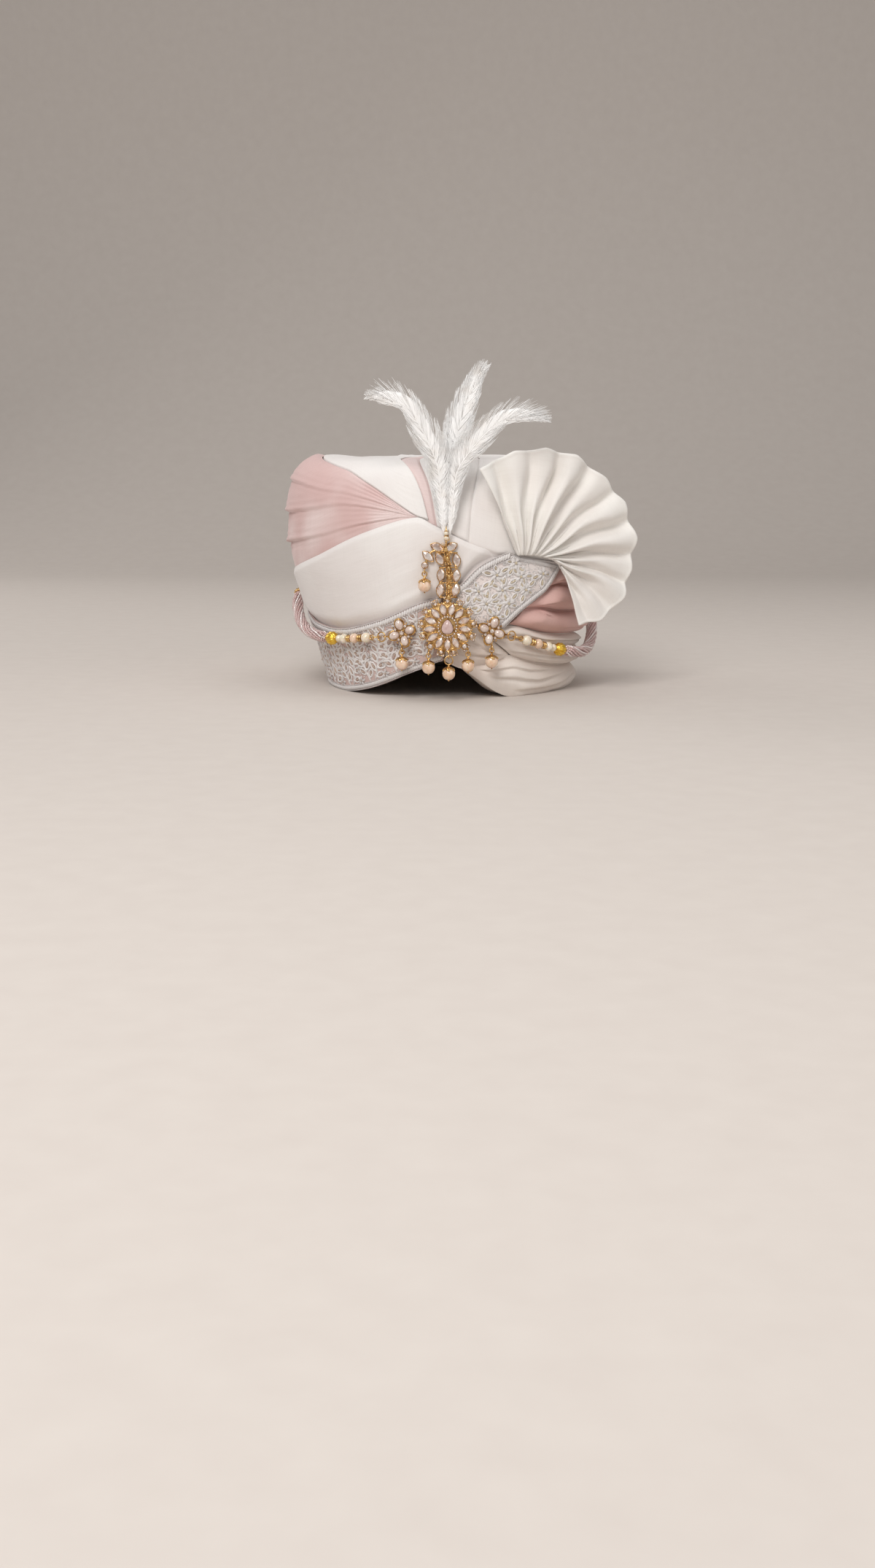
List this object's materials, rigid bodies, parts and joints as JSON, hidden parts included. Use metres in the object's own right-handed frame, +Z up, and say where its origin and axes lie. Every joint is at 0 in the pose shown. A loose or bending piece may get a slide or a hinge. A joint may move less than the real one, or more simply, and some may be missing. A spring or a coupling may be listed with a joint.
{
  "type": "tied turban pagri",
  "caption": "Tied wedding turban in ivory and rose cloth with an embroidered border, a pleated side fan and a feathered brooch with bead strings, open below for the head.",
  "frame": {"origin": "centre of the head opening, on the plane of the flat rim", "axes": "+Z up out of the crown, the wearer faces -Y, +X is to the wearer's left"},
  "size_m": [0.2696, 0.2767, 0.2439],
  "materials": {
    "ivory_cloth": "soft satin weave",
    "rose_cloth": "soft satin weave",
    "embroidery": "raised thread embroidery with corded edges",
    "gold": "antique gold with foiled stones",
    "pearl": "pearl lustre",
    "seed_beads": "clear mauve seed beads",
    "feather": "soft feather barbs",
    "tie_cord": "twisted cord"
  },
  "bodies": {
    "turban": {"wound_body": "ivory_cloth", "white_wrap": "ivory_cloth", "white_top_wrap": "ivory_cloth", "right_wrap_inner": "ivory_cloth", "right_wrap_outer": "ivory_cloth", "roll_bottom": "ivory_cloth", "roll_front": "ivory_cloth", "fold_lower": "ivory_cloth", "fold_upper": "ivory_cloth", "side_fan": "ivory_cloth", "rose_pleats": "rose_cloth", "rose_stripe": "rose_cloth", "rose_fold_lower": "rose_cloth", "rose_fold_middle": "rose_cloth", "rose_fold_upper": "rose_cloth", "embroidered_border": "embroidery", "embroidered_strip": "embroidery", "brooch_flower": "gold", "brooch_crest": "gold", "side_flower_left": "gold", "side_flower_right": "gold", "link_inner_left": "gold", "link_outer_left": "gold", "link_inner_right": "gold", "link_outer_right": "gold", "bead_string_left": "gold", "bead_string_right": "gold", "rope_cap_left": "gold", "rope_cap_right": "gold", "crest_finial": "pearl", "drop_inner_left": "pearl", "drop_inner_right": "pearl", "drop_crest": "pearl", "drop_outer_left": "pearl", "drop_outer_right": "pearl", "bead_rope_left": "seed_beads", "bead_rope_right": "seed_beads", "plume": "feather", "tie_cord": "tie_cord"},
    "centre_drop": {"drop_centre": "pearl"}
  },
  "joints": [
    {"name": "centre_drop_swing", "type": "hinge", "parent": "turban", "child": "centre_drop", "pos_m": [0.0047, -0.1302, 0.03355], "axis": [1, 0, 0], "range_deg": [-75, 20]}
  ]
}
